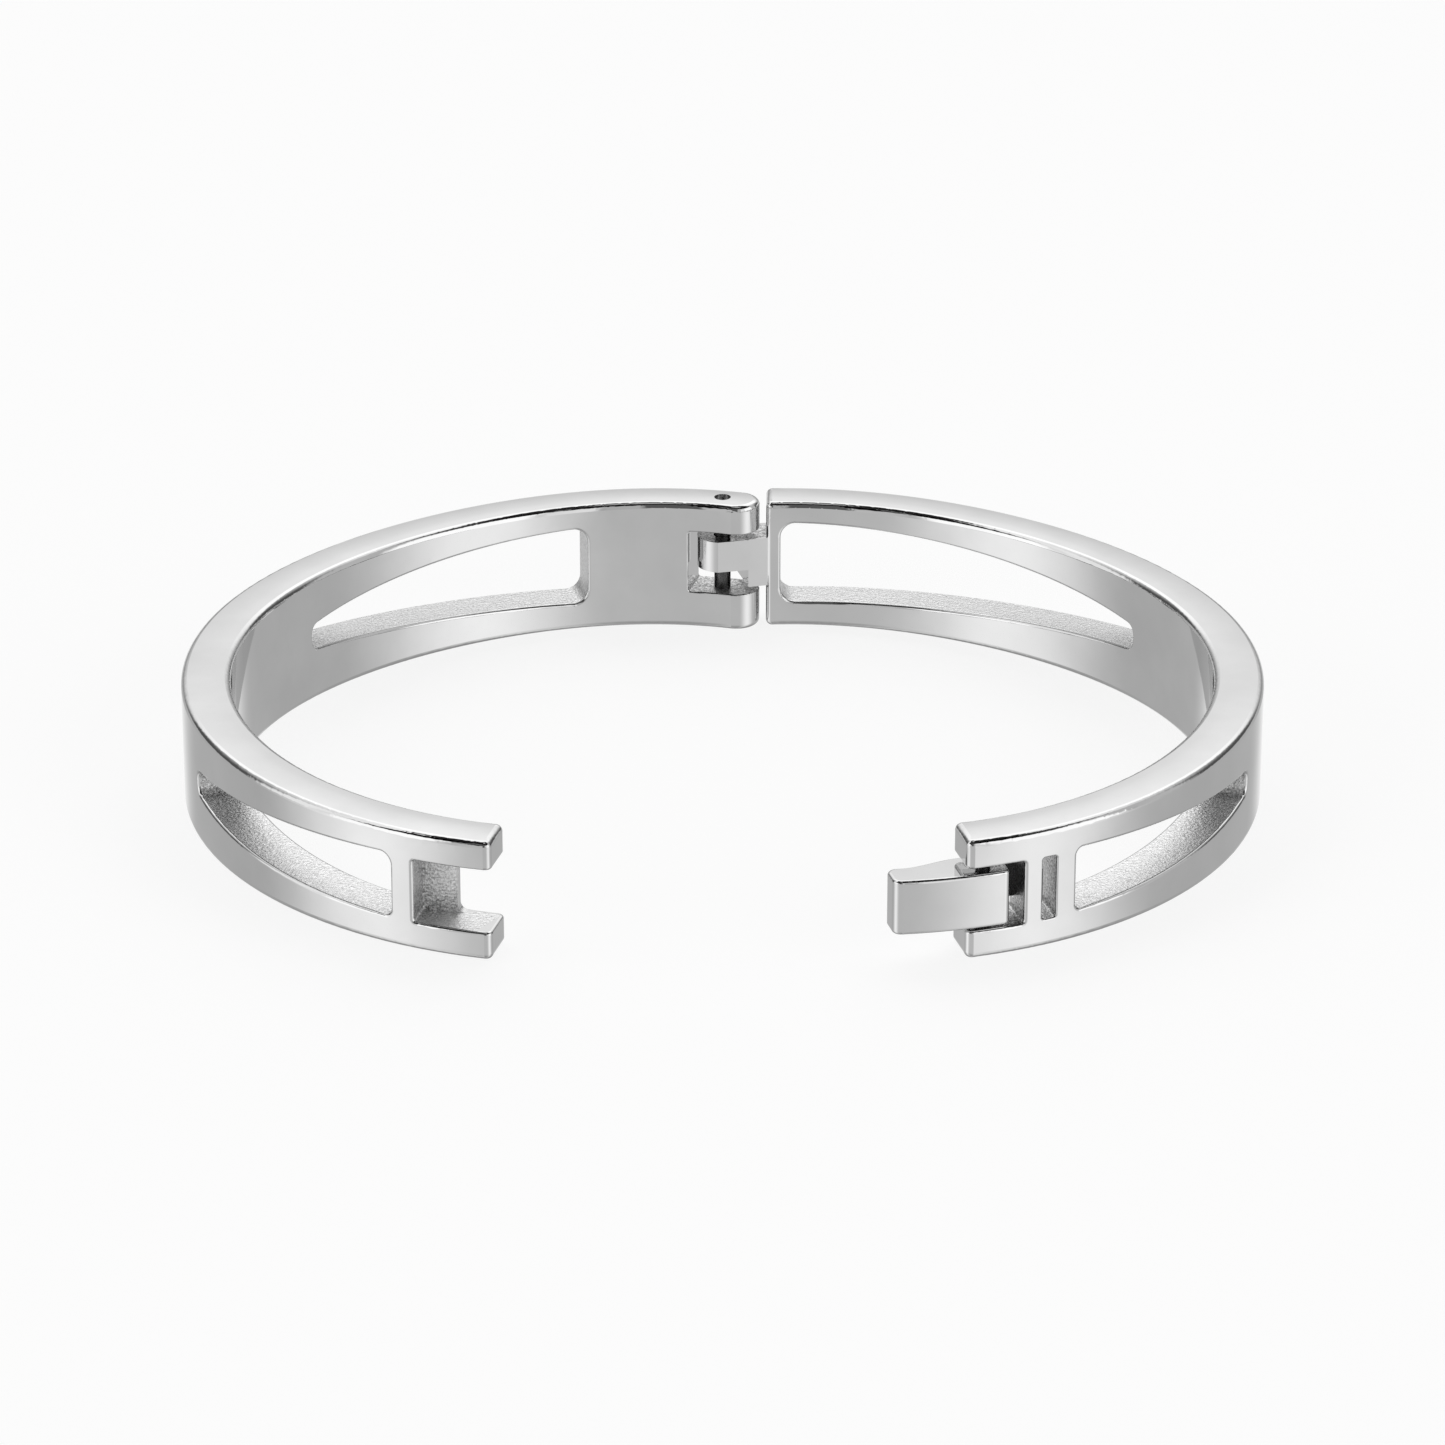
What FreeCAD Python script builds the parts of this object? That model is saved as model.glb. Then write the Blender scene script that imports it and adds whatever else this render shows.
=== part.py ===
"""Hinged bangle bracelet, shown open: two steel halves, a hinge pin and a sprung latch."""
import FreeCAD
import Part

import math
import os

# Oval of the closed bangle, outer face, seen from above (mm). The hinge is at +Y, the clasp at -Y.
HALF_WIDTH = 27.8
HINGE_REACH = 30.8
CLASP_REACH = 29.0
HINGE_SHOULDER = 0.045
CLASP_SHOULDER = 0.012

# Band. Its top face rises towards the hinge, its bottom face is flat.
BAND = 3.2
SIDE_HEIGHT = 8.5
TOP_SLOPE = 0.0235
CROWN_RADIUS = 23.0
EDGE_ROUND = 0.42
CORNER_ROUND = 0.45

# Pose: each half is turned this far about the hinge pin from the closed oval (degrees).
OPEN_ANGLE = 13.85
# Distance from the oval's centre back to the middle of the open bangle's box.
CENTRE_SHIFT = 1.75

# Windows: half-height is WIDE - NARROWING * distance^2, measured from the nearer end of the half.
HINGE_WINDOW_WIDE = 2.93
HINGE_WINDOW_NARROWING = 0.00186
CLASP_WINDOW_WIDE = 2.17
CLASP_WINDOW_NARROWING = 0.00205
WINDOW_RISE = 0.1
WINDOW_TIP_ROUND = 0.7
WINDOW_EDGE_ROUND = 0.2
FORK_EDGE_ROUND = 0.2
SLOT_EDGE_ROUND = 0.12
HINGE_WINDOW_FAR_END = 33.8
CLASP_WINDOW_FAR_END = 26.0
LEFT_HINGE_WINDOW_START = 9.7
RIGHT_HINGE_WINDOW_START = 4.0
LEFT_CLASP_WINDOW_START = 6.3
RIGHT_CLASP_WINDOW_START = 7.8
# Corner radii at the wide end of each window, bottom and top.
HINGE_WINDOW_CORNERS = (1.05, 1.05)
LEFT_CLASP_WINDOW_CORNERS = (0.45, 0.8)
RIGHT_CLASP_WINDOW_CORNERS = (0.4, 0.5)

# Hinge
PIN_RADIUS = 0.57
PIN_RUNNING_GAP = 0.05
PIN_RECESS = 0.3
NOSE_REACH = 1.0
EAR_SLOT = (2.65, 7.05)
EAR_SLOT_WALL = 2.05
KNUCKLE_RADIUS = 1.75
KNUCKLE_LEVELS = (4.25, 6.45)
STEM_LEVELS = (3.0, 6.5)
STEM_EDGE = 1.45
RIGHT_END_INNER = 2.65
RIGHT_END_OUTER = 3.45

# Clasp
PRONG_SLOT = (1.85, 5.95)
LEFT_PRONG_END = 0.05
RIGHT_PRONG_END = 0.85
POCKET_WALL = 5.1
POCKET_DEPTH = 2.6
WEB_END = 2.9
RIGHT_SLOT_WALL = 4.6
SLIT = (5.78, 6.75)
SLIT_CORNER = 0.2
SLOT_CORNER = 0.2
WEB_FOOT_ROUND = 0.5

# Latch tongue, pin and leaf spring
TONGUE_LEVELS = (2.0, 5.55)
TONGUE_TIP = -3.65
TONGUE_ROOT = 3.65
TONGUE_TIP_DEPTH = 2.15
TONGUE_ROOT_DEPTH = 3.0
TONGUE_SWELL = (-2.9, 1.0)
TONGUE_TIP_ROUND = 0.6
TONGUE_ROOT_ROUND = 0.4
TONGUE_EDGE_ROUND = 0.22
LATCH_PIN_X = 2.3
LATCH_PIN_DEPTH = 1.7
LATCH_PIN_RADIUS = 0.45
LATCH_PIN_LEVELS = (0.2, 7.0)
SPRING_THICK = 0.25
SPRING_LEVELS = (2.7, 4.9)
SPRING_DEPTH = 2.8
SPRING_TIP = 3.0
SPRING_LEG_DEPTH = 1.4
SPRING_GROOVE_MARGIN = 0.15
TONGUE_RELIEF_DEPTH = 2.6
TONGUE_RELIEF_X = 2.9

# Modelling constants. REACH is longer than any wall, for cutters that go right through.
REACH = 12.0
OVERLAP = 0.1
KNUCKLE_SPAN = 0.35
PIN_Y = HINGE_REACH - BAND / 2
CURVE_POINTS = 41
TURN_SEARCH = 0.6
TURN_SEARCH_STEPS = 50
WINDOW_SECTIONS = 9
TONGUE_SECTIONS = 12
STOCK_SECTIONS = 41
STOCK_OVERRUN = 0.3
STOCK_MARGIN = 1.0
CUT_MARGIN = 0.5
LEVEL_MARGIN = 0.01
WALL_MARGIN = 0.2
# Share by which an edge across the band may be longer or shorter than the band is thick.
ACROSS_SPREAD = 0.2
# Cosine above which a direction counts as along an axis.
PARALLEL = 0.99
TABLE_STEPS = 720
UP = FreeCAD.Vector(0, 0, 1)


def oval_point(turn, inset, z=0.0):
    """Point on the oval, turn radians from the hinge, inset from the outer face."""
    s = math.sin(turn)
    c = math.cos(turn)
    reach = HINGE_REACH if c > 0 else CLASP_REACH
    shoulder = HINGE_SHOULDER if c > 0 else CLASP_SHOULDER
    x = HALF_WIDTH * s * (1 - shoulder * c * c)
    y = reach * c * (1 - shoulder * s * s)
    dx = HALF_WIDTH * c * (1 - shoulder * c * c + 2 * shoulder * s * s)
    dy = -reach * s * (1 - shoulder * s * s + 2 * shoulder * c * c)
    length = math.hypot(dx, dy)
    return FreeCAD.Vector(x + inset * dy / length, y - inset * dx / length, z)


def length_table():
    """Turns and distances along the band's middle line, from the hinge to the clasp."""
    turns = [math.pi * i / TABLE_STEPS for i in range(TABLE_STEPS + 1)]
    lengths = [0.0]
    for before, after in zip(turns, turns[1:]):
        step = oval_point(after, BAND / 2) - oval_point(before, BAND / 2)
        lengths.append(lengths[-1] + step.Length)
    return turns, lengths


TURNS, LENGTHS = length_table()
HALF_LENGTH = LENGTHS[-1]


def turn_at(distance):
    """Turn at a distance along the middle line from the hinge."""
    i = next(k for k, length in enumerate(LENGTHS[1:]) if length >= distance)
    share = (distance - LENGTHS[i]) / (LENGTHS[i + 1] - LENGTHS[i])
    return TURNS[i] + share * (TURNS[i + 1] - TURNS[i])


def turn_of_x(x, inset, guess):
    """Turn near guess where the oval at this inset has the given x."""
    low = guess - TURN_SEARCH
    high = guess + TURN_SEARCH
    rising = oval_point(high, inset).x > oval_point(low, inset).x
    for _ in range(TURN_SEARCH_STEPS):
        middle = (low + high) / 2
        if (oval_point(middle, inset).x < x) == rising:
            low = middle
        else:
            high = middle
    return low


def top_at(y):
    """Height of the band's top face at this y of the closed oval."""
    return SIDE_HEIGHT + TOP_SLOPE * y


def oval_edge(inset, start, end):
    """Smooth edge along the oval from one turn to another."""
    step = (end - start) / (CURVE_POINTS - 1)
    points = [oval_point(start + step * i, inset) for i in range(CURVE_POINTS)]
    curve = Part.BSplineCurve()
    curve.interpolate(points)
    return curve.toShape()


def outline_solid(edges, low, high):
    """Closed plan outline raised between two levels."""
    face = Part.Face(Part.Wire(Part.__sortEdges__(edges)))
    solid = face.extrude(UP * (high - low))
    solid.translate(UP * low)
    return solid


def box(x0, x1, y0, y1, z0, z1):
    return Part.makeBox(x1 - x0, y1 - y0, z1 - z0, FreeCAD.Vector(x0, y0, z0))


def post(x, y, radius, z0, z1):
    return Part.makeCylinder(radius, z1 - z0, FreeCAD.Vector(x, y, z0), UP)


def upright_edges(shape, places):
    """The vertical edge of shape nearest to each (x, y) place."""
    upright = [e for e in shape.Edges
               if len(e.Vertexes) == 2 and abs(e.tangentAt(e.FirstParameter).z) > PARALLEL]
    found = []
    for x, y in places:
        def gap(edge):
            middle = edge.CenterOfMass
            return math.hypot(middle.x - x, middle.y - y)
        found.append(min(upright, key=gap))
    return found


def rim_edges(shape):
    """Edges round the faces that look straight up or down."""
    found = []
    for face in shape.Faces:
        u0, u1, v0, v1 = face.ParameterRange
        if abs(face.normalAt((u0 + u1) / 2, (v0 + v1) / 2).z) > PARALLEL:
            found.extend(face.OuterWire.Edges)
    return found


def crowned_stock():
    """Everything under the band's top face, which is crowned a little across the band."""
    sections = []
    for i in range(STOCK_SECTIONS):
        turn = -STOCK_OVERRUN + (math.pi + 2 * STOCK_OVERRUN) * i / (STOCK_SECTIONS - 1)
        corners = []
        for inset in (-STOCK_MARGIN, BAND / 2, BAND + STOCK_MARGIN):
            drop = (inset - BAND / 2) ** 2 / (2 * CROWN_RADIUS)
            point = oval_point(turn, inset)
            point.z = top_at(point.y) - drop
            corners.append(point)
        outer, middle, inner = corners
        outer_foot = FreeCAD.Vector(outer.x, outer.y, 0)
        inner_foot = FreeCAD.Vector(inner.x, inner.y, 0)
        sections.append(Part.Wire([Part.Arc(outer, middle, inner).toShape(),
                                   Part.makeLine(inner, inner_foot),
                                   Part.makeLine(inner_foot, outer_foot),
                                   Part.makeLine(outer_foot, outer)]))
    return Part.makeLoft(sections, True, False)


def rounded_band(edges):
    """Band blank with its long edges rounded."""
    blank = outline_solid(edges, 0, SIDE_HEIGHT + REACH).common(crowned_stock())
    return blank.makeFillet(EDGE_ROUND, rim_edges(blank))


def rounded_corners(edges, places):
    """Plan outline with its corners nearest to the places rounded."""
    solid = outline_solid(edges, 0, REACH)
    solid = solid.makeFillet(CORNER_ROUND, upright_edges(solid, places))
    bottom = min(solid.Faces, key=lambda f: f.CenterOfMass.z)
    return bottom.OuterWire.Edges


def left_blank():
    """Left half in the closed oval's frame, mirrored to +X: round nose at the hinge."""
    hinge_outer = turn_of_x(-NOSE_REACH, 0, 0)
    hinge_inner = turn_of_x(-NOSE_REACH, BAND, 0)
    clasp_outer = turn_of_x(LEFT_PRONG_END, 0, math.pi)
    clasp_inner = turn_of_x(LEFT_PRONG_END, BAND, math.pi)
    nose_outer = oval_point(hinge_outer, 0)
    nose_inner = oval_point(hinge_inner, BAND)
    nose_tip = (nose_outer + nose_inner) / 2 - FreeCAD.Vector(BAND / 2, 0, 0)
    end_outer = oval_point(clasp_outer, 0)
    end_inner = oval_point(clasp_inner, BAND)
    edges = [oval_edge(0, hinge_outer, clasp_outer),
             Part.makeLine(end_outer, end_inner),
             oval_edge(BAND, clasp_inner, hinge_inner),
             Part.Arc(nose_inner, nose_tip, nose_outer).toShape()]
    corners = [(end_outer.x, end_outer.y), (end_inner.x, end_inner.y)]
    return rounded_band(rounded_corners(edges, corners))


def right_blank():
    """Right half in the closed oval's frame: leaning end face at the hinge."""
    hinge_outer = turn_of_x(RIGHT_END_OUTER, 0, 0)
    hinge_inner = turn_of_x(RIGHT_END_INNER, BAND, 0)
    clasp_outer = turn_of_x(RIGHT_PRONG_END, 0, math.pi)
    clasp_inner = turn_of_x(RIGHT_PRONG_END, BAND, math.pi)
    corners = [oval_point(hinge_outer, 0), oval_point(clasp_outer, 0),
               oval_point(clasp_inner, BAND), oval_point(hinge_inner, BAND)]
    edges = [oval_edge(0, hinge_outer, clasp_outer),
             Part.makeLine(corners[1], corners[2]),
             oval_edge(BAND, clasp_inner, hinge_inner),
             Part.makeLine(corners[3], corners[0])]
    return rounded_band(rounded_corners(edges, [(p.x, p.y) for p in corners]))


def along_band(point):
    """Distance along the middle line to the place nearest to a point, and the point's offset from it."""
    def gap(i):
        middle = oval_point(TURNS[i], BAND / 2)
        return math.hypot(middle.x - point.x, middle.y - point.y)
    nearest = min(range(len(TURNS)), key=gap)
    return LENGTHS[nearest], gap(nearest)


def cut_rims(shape, start, end, levels):
    """Edges where the walls of a cut, between these distances and levels, meet the band's faces."""
    start -= CUT_MARGIN
    end += CUT_MARGIN
    low = levels[0] - LEVEL_MARGIN
    high = levels[1] + LEVEL_MARGIN
    walls = []
    for face in shape.Faces:
        centre = face.CenterOfMass
        distance, offset = along_band(centre)
        if start < distance < end and offset < BAND / 2 - WALL_MARGIN and low < centre.z < high:
            walls.append(face)
    edges = [edge for wall in walls for edge in wall.Edges]
    return [edge for edge in edges if sum(edge.isSame(other) for other in edges) == 1]


def window_levels(distance, wide, narrowing, from_end):
    """Bottom and top of a window at a distance along the band from the hinge."""
    half = wide - narrowing * from_end ** 2
    middle = top_at(oval_point(turn_at(distance), 0).y) / 2 + WINDOW_RISE
    return middle - half, middle + half


def window_cutter(start, end, levels):
    """Cutter for a window, square to the band all along, from start to end."""
    sections = []
    for i in range(WINDOW_SECTIONS):
        distance = start + (end - start) * i / (WINDOW_SECTIONS - 1)
        low, high = levels(distance)
        turn = turn_at(distance)
        ring = [oval_point(turn, -1, low), oval_point(turn, BAND + 1, low),
                oval_point(turn, BAND + 1, high), oval_point(turn, -1, high)]
        sections.append(Part.makePolygon(ring + ring[:1]))
    return Part.makeLoft(sections, True, False)


def rounded_end(band, distance, levels, radii):
    """Band with a window's bottom and top corners at this distance rounded."""
    for z, radius in zip(levels(distance), radii):
        corner = oval_point(turn_at(distance), BAND / 2, z)
        across = [e for e in band.Edges if abs(e.Length - BAND) < ACROSS_SPREAD * BAND]
        edge = min(across, key=lambda e: (e.CenterOfMass - corner).Length)
        band = band.makeFillet(radius, [edge])
    return band


def cut_window(band, start, end, levels, start_rounds, end_rounds):
    """Band with a window cut, its four corners rounded, and its rims rounded on both faces."""
    band = band.cut(window_cutter(start, end, levels))
    band = rounded_end(band, start, levels, start_rounds)
    band = rounded_end(band, end, levels, end_rounds)
    walls = (EDGE_ROUND, SIDE_HEIGHT - EDGE_ROUND)
    return band.makeFillet(WINDOW_EDGE_ROUND, cut_rims(band, start, end, walls))


def hinge_window_levels(distance):
    return window_levels(distance, HINGE_WINDOW_WIDE, HINGE_WINDOW_NARROWING, distance)


def clasp_window_levels(distance):
    return window_levels(distance, CLASP_WINDOW_WIDE, CLASP_WINDOW_NARROWING, HALF_LENGTH - distance)


def cut_windows(band, hinge_start, clasp_start, clasp_corners):
    """Band with the window near the hinge and the window near the clasp."""
    tip = (WINDOW_TIP_ROUND, WINDOW_TIP_ROUND)
    band = cut_window(band, hinge_start, HINGE_WINDOW_FAR_END,
                      hinge_window_levels, HINGE_WINDOW_CORNERS, tip)
    return cut_window(band, HALF_LENGTH - CLASP_WINDOW_FAR_END, HALF_LENGTH - clasp_start,
                      clasp_window_levels, tip, clasp_corners)


def edges_along_y(shape):
    return [e for e in shape.Edges if abs(e.tangentAt(e.FirstParameter).y) > PARALLEL]


def slot_cutter(x0, wall_x, y0, y1, levels, corner):
    """Box cutter from x0 to a slot's end wall, with the wall's two corners rounded."""
    cutter = box(x0, wall_x, y0, y1, *levels)
    middle_x = (x0 + wall_x) / 2
    return cutter.makeFillet(corner, [e for e in edges_along_y(cutter) if e.CenterOfMass.x > middle_x])


def spring_groove_levels():
    return SPRING_LEVELS[0] - SPRING_GROOVE_MARGIN, SPRING_LEVELS[1] + SPRING_GROOVE_MARGIN


def clasp_face_y(inset):
    return -CLASP_REACH + inset


def left_band():
    """Left half: hinge ears at the back, forked pocket for the tongue at the front."""
    band = cut_windows(left_blank(), LEFT_HINGE_WINDOW_START, LEFT_CLASP_WINDOW_START,
                       LEFT_CLASP_WINDOW_CORNERS)
    ear_slot = slot_cutter(-REACH, EAR_SLOT_WALL, PIN_Y - BAND, PIN_Y + BAND, EAR_SLOT, SLOT_CORNER)
    band = band.cut(ear_slot)
    band = band.makeFillet(SLOT_EDGE_ROUND, cut_rims(band, 0, EAR_SLOT_WALL, EAR_SLOT))
    band = band.cut(post(0, PIN_Y, PIN_RADIUS, -1, REACH))
    front = clasp_face_y(-1)
    pocket = slot_cutter(-1, POCKET_WALL, front, clasp_face_y(POCKET_DEPTH), PRONG_SLOT, SLOT_CORNER)
    mouth = slot_cutter(-1, WEB_END, front, clasp_face_y(BAND + 1), PRONG_SLOT, WEB_FOOT_ROUND)
    band = band.cut(pocket.fuse(mouth).removeSplitter())
    rims = cut_rims(band, HALF_LENGTH - POCKET_WALL, HALF_LENGTH, PRONG_SLOT)
    return band.makeFillet(FORK_EDGE_ROUND, rims)


def hinge_knuckle():
    """Knuckle round the pin, with its stem to the right half, within the band's thickness."""
    inner_y = PIN_Y - BAND / 2
    outer_y = PIN_Y + BAND / 2
    knuckle = post(0, PIN_Y, KNUCKLE_RADIUS, *KNUCKLE_LEVELS)
    knuckle = knuckle.fuse(box(0, STEM_EDGE + OVERLAP, inner_y, outer_y, *KNUCKLE_LEVELS))
    stem = box(STEM_EDGE, RIGHT_END_OUTER + OVERLAP, inner_y, outer_y, *STEM_LEVELS)
    left = -KNUCKLE_SPAN
    right = KNUCKLE_SPAN
    limit = outline_solid([oval_edge(0, left, right),
                           Part.makeLine(oval_point(right, 0), oval_point(right, BAND)),
                           oval_edge(BAND, right, left),
                           Part.makeLine(oval_point(left, BAND), oval_point(left, 0))], 0, REACH)
    return knuckle.common(box(-REACH, REACH, inner_y, outer_y, 0, REACH)).fuse(stem).common(limit)


def right_band():
    """Right half: hinge knuckle at the back, forked holder for the latch at the front."""
    band = cut_windows(right_blank(), RIGHT_HINGE_WINDOW_START, RIGHT_CLASP_WINDOW_START,
                       RIGHT_CLASP_WINDOW_CORNERS)
    band = band.fuse(hinge_knuckle()).removeSplitter()
    band = band.cut(post(0, PIN_Y, PIN_RADIUS + PIN_RUNNING_GAP, 0, REACH))
    front = clasp_face_y(-1)
    back = clasp_face_y(BAND + 1)
    band = band.cut(slot_cutter(-1, RIGHT_SLOT_WALL, front, back, PRONG_SLOT, SLOT_CORNER))
    slit = box(*SLIT, front, clasp_face_y(2 * BAND), *PRONG_SLOT)
    band = band.cut(slit.makeFillet(SLIT_CORNER, edges_along_y(slit)))
    rims = cut_rims(band, HALF_LENGTH - RIGHT_SLOT_WALL, HALF_LENGTH, PRONG_SLOT)
    band = band.makeFillet(FORK_EDGE_ROUND, rims)
    rims = cut_rims(band, HALF_LENGTH - SLIT[1], HALF_LENGTH - SLIT[0], PRONG_SLOT)
    band = band.makeFillet(SLOT_EDGE_ROUND, rims)
    groove = box(RIGHT_SLOT_WALL - 1, SLIT[0] + OVERLAP, clasp_face_y(SPRING_DEPTH), back,
                 *spring_groove_levels())
    pin_hole = post(LATCH_PIN_X, clasp_face_y(LATCH_PIN_DEPTH), LATCH_PIN_RADIUS,
                    -1, LATCH_PIN_LEVELS[1])
    return band.cut(groove).cut(pin_hole)


def hinge_pin():
    """Straight pin, pressed into both ears of the left half and recessed a little at both ends."""
    return post(0, PIN_Y, PIN_RADIUS, PIN_RECESS, top_at(PIN_Y) - PIN_RECESS)


def tongue_inset(x):
    """Depth of the tongue's inner face: thin at the tip, swelling to almost the band's thickness."""
    share = (x - TONGUE_SWELL[0]) / (TONGUE_SWELL[1] - TONGUE_SWELL[0])
    share = min(1.0, max(0.0, share))
    return TONGUE_TIP_DEPTH + (TONGUE_ROOT_DEPTH - TONGUE_TIP_DEPTH) * share * share * (3 - 2 * share)


def latch_tongue():
    """Latch tongue: outer face flush with the band, bored for its pin, eased for the spring."""
    tip_turn = turn_of_x(TONGUE_TIP, 0, math.pi)
    root_turn = turn_of_x(TONGUE_ROOT, 0, math.pi)
    outer_tip = oval_point(tip_turn, 0)
    outer_root = oval_point(root_turn, 0)
    outer = oval_edge(0, tip_turn, root_turn)
    inner_points = []
    for i in range(TONGUE_SECTIONS + 1):
        x = TONGUE_ROOT + (TONGUE_TIP - TONGUE_ROOT) * i / TONGUE_SECTIONS
        inset = tongue_inset(x)
        inner_points.append(oval_point(turn_of_x(x, inset, math.pi), inset))
    curve = Part.BSplineCurve()
    curve.interpolate(inner_points)
    edges = [outer, Part.makeLine(outer_root, inner_points[0]), curve.toShape(),
             Part.makeLine(inner_points[-1], outer_tip)]
    tongue = outline_solid(edges, *TONGUE_LEVELS)
    inner_tip = inner_points[-1]
    tip = upright_edges(tongue, [(outer_tip.x, outer_tip.y), (inner_tip.x, inner_tip.y)])
    tongue = tongue.makeFillet(TONGUE_TIP_ROUND, tip)
    inner_root = inner_points[0]
    root = upright_edges(tongue, [(outer_root.x, outer_root.y), (inner_root.x, inner_root.y)])
    tongue = tongue.makeFillet(TONGUE_ROOT_ROUND, root)
    tongue = tongue.makeFillet(TONGUE_EDGE_ROUND, rim_edges(tongue))
    bore = post(LATCH_PIN_X, clasp_face_y(LATCH_PIN_DEPTH), LATCH_PIN_RADIUS + PIN_RUNNING_GAP, 0, REACH)
    relief = box(TONGUE_RELIEF_X, TONGUE_ROOT + 1, clasp_face_y(TONGUE_RELIEF_DEPTH),
                 clasp_face_y(BAND + 1), *spring_groove_levels())
    return tongue.cut(bore).cut(relief)


def latch_pin():
    """Pin of the latch, pressed up through the lower prong into a blind hole in the upper one."""
    return post(LATCH_PIN_X, clasp_face_y(LATCH_PIN_DEPTH), LATCH_PIN_RADIUS, *LATCH_PIN_LEVELS)


def latch_spring():
    """Leaf spring: one leg hooked in the slit, its free end behind the tongue's root."""
    leg = box(SLIT[0], SLIT[0] + SPRING_THICK, clasp_face_y(SPRING_LEG_DEPTH),
              clasp_face_y(SPRING_DEPTH + SPRING_THICK), *SPRING_LEVELS)
    leaf = box(SPRING_TIP, SLIT[0] + SPRING_THICK, clasp_face_y(SPRING_DEPTH),
               clasp_face_y(SPRING_DEPTH + SPRING_THICK), *SPRING_LEVELS)
    return leg.fuse(leaf).removeSplitter()


def place(shape, side):
    """Turn a piece made in the closed oval to the open pose; the left side is mirrored first."""
    if side < 0:
        shape = shape.mirror(FreeCAD.Vector(0, 0, 0), FreeCAD.Vector(1, 0, 0))
    shape.rotate(FreeCAD.Vector(0, PIN_Y, 0), UP, side * OPEN_ANGLE)
    shape.translate(FreeCAD.Vector(0, -CENTRE_SHIFT, 0))
    return shape


PIECES = {
    "left_band": (left_band, -1),
    "right_band": (right_band, 1),
    "hinge_pin": (hinge_pin, -1),
    "latch_tongue": (latch_tongue, 1),
    "latch_pin": (latch_pin, 1),
    "latch_spring": (latch_spring, 1),
}

os.makedirs("parts", exist_ok=True)
for name, (make, side) in PIECES.items():
    place(make(), side).exportStep("parts/" + name + ".step")
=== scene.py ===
import math

import bpy
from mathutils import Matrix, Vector
from mathutils.kdtree import KDTree

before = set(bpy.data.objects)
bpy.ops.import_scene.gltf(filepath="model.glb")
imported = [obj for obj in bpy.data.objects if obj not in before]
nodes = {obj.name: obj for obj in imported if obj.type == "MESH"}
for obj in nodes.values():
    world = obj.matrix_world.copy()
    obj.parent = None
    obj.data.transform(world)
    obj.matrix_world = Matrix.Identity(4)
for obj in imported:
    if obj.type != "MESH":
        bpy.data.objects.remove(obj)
bpy.context.view_layer.update()
scene = bpy.context.scene
scene.view_settings.view_transform = "Standard"

# Camera: a long lens a little above the bangle, looking at the middle of its height.
CAMERA_TARGET = Vector((0, -0.001363, 0.00425))
CAMERA_DISTANCE = 0.373
CAMERA_PITCH = math.radians(22.45)
CAMERA_LENS = 143.6

# Studio light by direction. Bearing is 0 towards the camera and positive to its right, height is above
# the horizon, both in degrees. Brightness 1 is white paper.
BRIGHTEST = 1.45
# The table: a bright pool on each side, shade in front and behind. Its middle lies a little left.
TABLE_MIDDLE = -6
FRONT_SHADE = 0.62
REAR_SHADE = 0.52
TABLE_BACK = 0.9
SIDE_POOL = 0.55
POOL_BEARING = 62
POOL_REACH = 42
# The shades meet between the first bearings, and the bright back of the table begins between the second.
SHADE_CHANGE = (60, 120)
TABLE_BACK_EDGE = (148, 172)
# Its light falls off steeply downwards, towards the bangle's own shadow.
TABLE_DROP = (-65, -28)
TABLE_DROP_SHARE = 0.6
# Backdrop and the gaps beside it: brightness low down and high up, and the heights between which it rises.
BACKDROP = (0.35, 1.45, 2, 42)
REAR_GAP = (0.1, 1.2, 15, 65)
REAR_GAP_EDGE = (148, 134)
# Softboxes and flags: bearings from and to, softness of the sides, brightness, and the heights between
# which the top edge fades. Later ones cover earlier ones.
PANELS = [(-104, -80, 6, 1.1, 60, 66),
          (-80, -42, 6, 1.4, 30, 40),
          (38, 82, 6, 1.4, 38, 46),
          (82, 106, 5, 0.6, 46, 54),
          (-42, 4, 5, 0.65, 24, 36),
          (18, 38, 4, 1.0, 34, 45),
          (2, 18, 3, 0.55, 40, 48)]
# The camera is a dark panel, the roof is dark above its edge, and a small softbox hangs overhead.
CAMERA_BEARINGS = (-21, 3)
CAMERA_SIDE_SOFT = 2
CAMERA_BOTTOM = (7, 11)
CAMERA_DARK = 0.12
ROOF_EDGE_FRONT = 58.0
ROOF_EDGE_REAR = 67.0
ROOF_EDGE_BEARINGS = (20, 150)
ROOF_EDGE_SOFT = 2
ROOF_DARK = 0.015
OVERHEAD_EDGE = (79, 82)
OVERHEAD = 0.6
# Table and sky meet within this of the horizon.
HORIZON_SOFT = 3

FLOOR_HALF_SIZE = 3.0

# Oval of the closed bangle in metres, and how each half is turned, for telling cut walls from faces.
HALF_WIDTH = 0.0278
HINGE_REACH = 0.0308
CLASP_REACH = 0.029
HINGE_SHOULDER = 0.045
CLASP_SHOULDER = 0.012
OPEN_ANGLE = math.radians(13.85)
CENTRE_SHIFT = 0.00175
PIN_Y = 0.0292
CURVE_STEPS = 3000
# Distances from the middle line in the closed oval: the hinge's cut walls, its stem, the prongs' round ends.
HINGE_END = 0.0037
STEM_START = 0.0024
CLASP_END = {-1: 0.00055, 1: 0.00135}
# Cut walls lie between these depths under the outer face, and between these levels.
WALL_DEPTHS = (0.0004, 0.0028)
WALL_BOTTOM = 0.0006
WALL_TOP = 0.0076
WALL_TOP_AT_HINGE = 0.0086
# A face whose normal points up or down by less than this counts as upright.
LEVEL_NORMAL = 0.5


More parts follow.
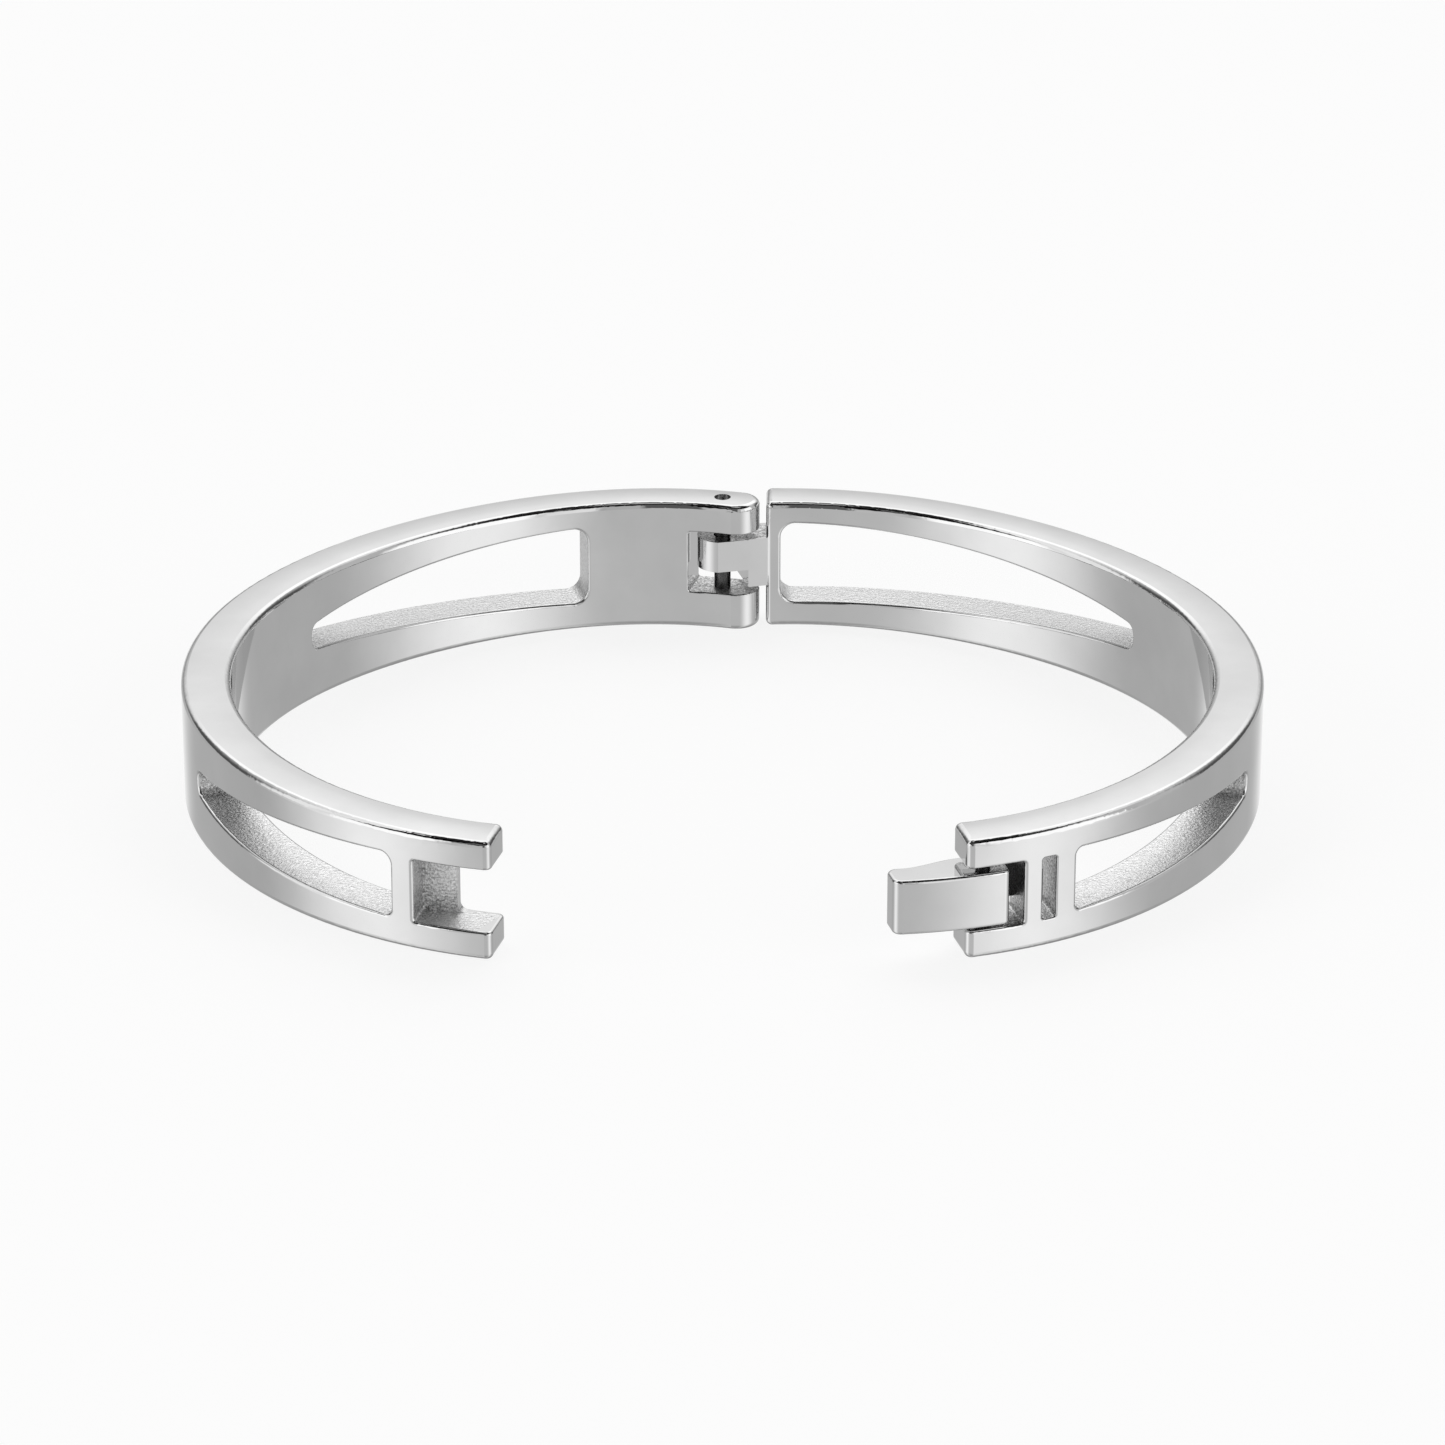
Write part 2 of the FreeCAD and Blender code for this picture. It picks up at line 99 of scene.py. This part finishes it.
def make_camera():
    data = bpy.data.cameras.new("camera")
    camera = bpy.data.objects.new("camera", data)
    scene.collection.objects.link(camera)
    back = Vector((0, -math.cos(CAMERA_PITCH), math.sin(CAMERA_PITCH)))
    camera.location = CAMERA_TARGET + back * CAMERA_DISTANCE
    camera.rotation_mode = "QUATERNION"
    camera.rotation_quaternion = (-back).to_track_quat("-Z", "Y")
    data.lens = CAMERA_LENS
    data.sensor_width = 36
    data.clip_start = 0.01
    data.clip_end = 20
    scene.camera = camera


class Nodes:
    """Short way to build a node tree."""

    def __init__(self, tree):
        self.tree = tree
        tree.nodes.clear()

    def add(self, kind, inputs=None, **settings):
        node = self.tree.nodes.new("ShaderNode" + kind)
        for name, value in settings.items():
            setattr(node, name, value)
        for name, value in (inputs or {}).items():
            socket = node.inputs[name]
            if isinstance(value, bpy.types.NodeSocket):
                self.tree.links.new(value, socket)
            else:
                socket.default_value = value
        return node

    def math(self, operation, a, b=0.0):
        return self.add("Math", {0: a, 1: b}, operation=operation).outputs[0]

    def smooth(self, value, low, high):
        """0 at low, 1 at high, smooth between; high may be the smaller one."""
        return self.add("MapRange", {"Value": value, "From Min": low, "From Max": high},
                        interpolation_type="SMOOTHSTEP").outputs["Result"]

    def linear(self, value, low, high, at_low, at_high):
        """at_low at low, at_high at high, straight between and level outside."""
        return self.add("MapRange", {"Value": value, "From Min": low, "From Max": high,
                                     "To Min": at_low, "To Max": at_high}).outputs["Result"]

    def between(self, value, low, high, soft):
        """1 between low and high, fading to 0 within soft on both sides."""
        return self.math("MULTIPLY", self.smooth(value, low - soft, low + soft),
                         self.smooth(value, high + soft, high - soft))

    def blend(self, share, a, b):
        """a where share is 0, b where it is 1."""
        return self.math("ADD", self.math("MULTIPLY", a, self.math("SUBTRACT", 1.0, share)),
                         self.math("MULTIPLY", b, share))

    def ramp(self, factor, stops):
        node = self.add("ValToRGB", {"Fac": factor})
        elements = node.color_ramp.elements
        while len(elements) < len(stops):
            elements.new(0.5)
        for element, (place, value) in zip(elements, stops):
            element.position = place
            element.color = (value, value, value, 1)
        return node.outputs["Color"]

    def noise(self, where, scale, detail, roughness=0.5):
        """Noise with this many features per millimetre."""
        return self.add("TexNoise", {"Vector": where, "Scale": scale, "Detail": detail,
                                     "Roughness": roughness}).outputs["Fac"]


def rising(n, height, low, high, start, end):
    """Brightness that rises from low to high between two heights."""
    return n.blend(n.smooth(height, start, end), low / BRIGHTEST, high / BRIGHTEST)


def make_table(n, bearing, spread):
    """Brightness of the table round the bangle."""
    aside = n.math("ABSOLUTE", n.math("SUBTRACT", bearing, TABLE_MIDDLE))
    off_pool = n.math("ABSOLUTE", n.math("SUBTRACT", aside, POOL_BEARING))
    pool = n.math("MULTIPLY", n.smooth(off_pool, POOL_REACH, 0), SIDE_POOL)
    shade = n.blend(n.smooth(spread, *SHADE_CHANGE), FRONT_SHADE, REAR_SHADE)
    light = n.blend(n.smooth(spread, *TABLE_BACK_EDGE), n.math("ADD", pool, shade), TABLE_BACK)
    return n.math("DIVIDE", light, BRIGHTEST)


def make_world():
    """Studio round the bangle, by direction: table, backdrop, panels, camera, dark roof, softbox overhead."""
    world = bpy.data.worlds.new("studio")
    scene.world = world
    world.use_nodes = True
    n = Nodes(world.node_tree)
    direction = n.add("TexCoord").outputs["Generated"]
    parts = n.add("SeparateXYZ", {"Vector": direction})
    x, y, z = parts.outputs["X"], parts.outputs["Y"], parts.outputs["Z"]
    height = n.math("MULTIPLY", n.math("ARCSINE", z), 180 / math.pi)
    bearing = n.math("MULTIPLY", n.math("ARCTAN2", x, n.math("MULTIPLY", y, -1.0)), 180 / math.pi)
    spread = n.math("ABSOLUTE", bearing)
    table = make_table(n, bearing, spread)
    table = n.math("MULTIPLY", table, n.linear(height, *TABLE_DROP, TABLE_DROP_SHARE, 1.0))
    backdrop = rising(n, height, *BACKDROP)
    sky = n.blend(n.smooth(spread, *REAR_GAP_EDGE), backdrop, rising(n, height, *REAR_GAP))
    for start, end, soft, brightness, edge_start, edge_end in PANELS:
        panel = n.math("MULTIPLY", n.smooth(height, edge_end, edge_start), brightness / BRIGHTEST)
        sky = n.blend(n.between(bearing, start, end, soft), sky, panel)
    camera = n.between(bearing, *CAMERA_BEARINGS, CAMERA_SIDE_SOFT)
    camera = n.math("MULTIPLY", camera, n.smooth(height, *CAMERA_BOTTOM))
    sky = n.blend(camera, sky, CAMERA_DARK / BRIGHTEST)
    roof_edge = n.linear(spread, *ROOF_EDGE_BEARINGS, ROOF_EDGE_FRONT, ROOF_EDGE_REAR)
    roof = n.smooth(n.math("SUBTRACT", height, roof_edge), -ROOF_EDGE_SOFT, ROOF_EDGE_SOFT)
    sky = n.blend(roof, sky, ROOF_DARK)
    sky = n.blend(n.smooth(height, *OVERHEAD_EDGE), sky, OVERHEAD / BRIGHTEST)
    light = n.blend(n.smooth(height, -HORIZON_SOFT, HORIZON_SOFT), table, sky)
    background = n.add("Background", {"Color": light, "Strength": BRIGHTEST})
    n.add("OutputWorld", {"Surface": background.outputs[0]})


def make_floor():
    mesh = bpy.data.meshes.new("floor")
    r = FLOOR_HALF_SIZE
    mesh.from_pydata([(-r, -r, 0), (r, -r, 0), (r, r, 0), (-r, r, 0)], [], [(0, 1, 2, 3)])
    floor = bpy.data.objects.new("floor", mesh)
    scene.collection.objects.link(floor)
    material = bpy.data.materials.new("floor")
    material.use_nodes = True
    n = Nodes(material.node_tree)
    surface = n.add("BsdfPrincipled", {"Base Color": (0.25, 0.25, 0.25, 1), "Roughness": 0.9,
                                       "Specular IOR Level": 0.0,
                                       "Emission Color": (1, 1, 1, 1), "Emission Strength": 0.82})
    n.add("OutputMaterial", {"Surface": surface.outputs[0]})
    mesh.materials.append(material)
    floor.visible_glossy = False


def start_material(name, scale=(1000, 1000, 1000)):
    """New material with its nodes, and the place on the piece in millimetres."""
    material = bpy.data.materials.new(name)
    material.use_nodes = True
    n = Nodes(material.node_tree)
    where = n.add("TexCoord").outputs["Object"]
    return material, n, n.add("Mapping", {"Vector": where, "Scale": scale}).outputs["Vector"]


def finish_metal(n, colour, rough, normal):
    surface = n.add("BsdfPrincipled", {"Base Color": colour, "Metallic": 1.0, "Roughness": rough,
                                       "Normal": normal})
    n.add("OutputMaterial", {"Surface": surface.outputs[0]})


def polished():
    """Mirror polish with faint waviness and cloudy roughness."""
    material, n, where = start_material("polished_steel")
    cloud = n.noise(where, 1.3, 3.0)
    rough = n.linear(cloud, 0.0, 1.0, 0.02, 0.06)
    wave = n.noise(where, 0.35, 1.0)
    bump = n.add("Bump", {"Height": wave, "Strength": 0.25, "Distance": 0.00002}).outputs["Normal"]
    haze = n.ramp(n.noise(where, 0.22, 4.0), [(0.3, 0.67), (0.7, 0.73)])
    finish_metal(n, haze, rough, bump)
    return material


def cast():
    """Sandy cast wall left by the mould in the windows and slots, with shade painted darker into its colour
    where it is closed in.
    """
    material, n, where = start_material("cast_steel")
    grain = n.noise(where, 5.0, 3.0, 0.6)
    bump = n.add("Bump", {"Height": grain, "Strength": 1.0, "Distance": 0.00006}).outputs["Normal"]
    speck = n.noise(where, 7.0, 3.0, 0.6)
    # Painted shade: where ambient occlusion finds the wall closed in, the speckled colour is blended towards
    # this much darker ramp.
    painted_shade_speck = n.ramp(speck, [(0.36, 0.2), (0.5, 0.56), (0.62, 0.9)])
    bare = n.ramp(speck, [(0.36, 0.66), (0.5, 0.82), (0.62, 0.9)])
    open_sky = n.add("AmbientOcclusion", {"Distance": 0.003}, samples=6).outputs["AO"]
    finish_metal(n, n.blend(n.smooth(open_sky, 0.3, 0.85), painted_shade_speck, bare), 0.28, bump)
    return material


def drawn(name, scale, low, high):
    """Drawn or rolled steel: lines along one axis, shade painted dark into its colour down in its hole,
    roughness from low to high.
    """
    material, n, where = start_material(name, scale)
    line = n.noise(where, 1.0, 3.0)
    rough = n.linear(line, 0.0, 1.0, low, high)
    bump = n.add("Bump", {"Height": line, "Strength": 0.3, "Distance": 0.00003}).outputs["Normal"]
    # Painted shade: the base colour comes from ambient occlusion and goes nearly black where the surface is
    # enclosed.
    open_sky = n.add("AmbientOcclusion", {"Distance": 0.002}, samples=6).outputs["AO"]
    shade = n.ramp(open_sky, [(0.7, 0.05), (1.0, 0.55)])
    finish_metal(n, shade, rough, bump)
    return material


def outer_curve():
    """The closed oval's outer face as a search tree, for +X."""
    tree = KDTree(CURVE_STEPS + 1)
    for i in range(CURVE_STEPS + 1):
        turn = -0.1 + (math.pi + 0.2) * i / CURVE_STEPS
        s = math.sin(turn)
        c = math.cos(turn)
        reach = HINGE_REACH if c > 0 else CLASP_REACH
        shoulder = HINGE_SHOULDER if c > 0 else CLASP_SHOULDER
        tree.insert((HALF_WIDTH * s * (1 - shoulder * c * c), reach * c * (1 - shoulder * s * s), 0), i)
    tree.balance()
    return tree


def closed_place(point, side):
    """Where a point of one half lies in the closed oval, mirrored to +X."""
    turn = -side * OPEN_ANGLE
    dx = point.x
    dy = point.y + CENTRE_SHIFT - PIN_Y
    x = dx * math.cos(turn) - dy * math.sin(turn)
    y = dx * math.sin(turn) + dy * math.cos(turn) + PIN_Y
    return Vector((x * side, y, 0))


def dress_band(mesh, side, tree):
    """Polished faces, and cast walls in windows and slots. At the hinge only floors and one end are cast."""
    mesh.materials.append(POLISHED)
    mesh.materials.append(CAST)
    for polygon in mesh.polygons:
        c = polygon.center
        place = closed_place(c, side)
        depth = tree.find(place)[2]
        at_hinge = place.y > 0 and place.x < HINGE_END
        top = WALL_TOP_AT_HINGE if at_hinge else WALL_TOP
        if not (WALL_DEPTHS[0] < depth < WALL_DEPTHS[1] and WALL_BOTTOM < c.z < top):
            continue
        upright = abs(polygon.normal.z) < LEVEL_NORMAL
        if at_hinge and upright and (side < 0 or place.x < STEM_START):
            continue
        if at_hinge or place.x > CLASP_END[side]:
            polygon.material_index = 1


make_camera()
make_world()
make_floor()
POLISHED = polished()
CAST = cast()
PIN = drawn("pin_steel", (9000, 9000, 600), 0.15, 0.35)
SPRING = drawn("spring_steel", (600, 9000, 9000), 0.2, 0.4)
DRESS = {"latch_tongue": POLISHED, "hinge_pin": PIN, "latch_pin": PIN, "latch_spring": SPRING}

curve = outer_curve()
for name, node in nodes.items():
    node.data.materials.clear()
    if name in DRESS:
        node.data.materials.append(DRESS[name])
    else:
        dress_band(node.data, 1 if name == "right_band" else -1, curve)

bpy.context.view_layer.update()
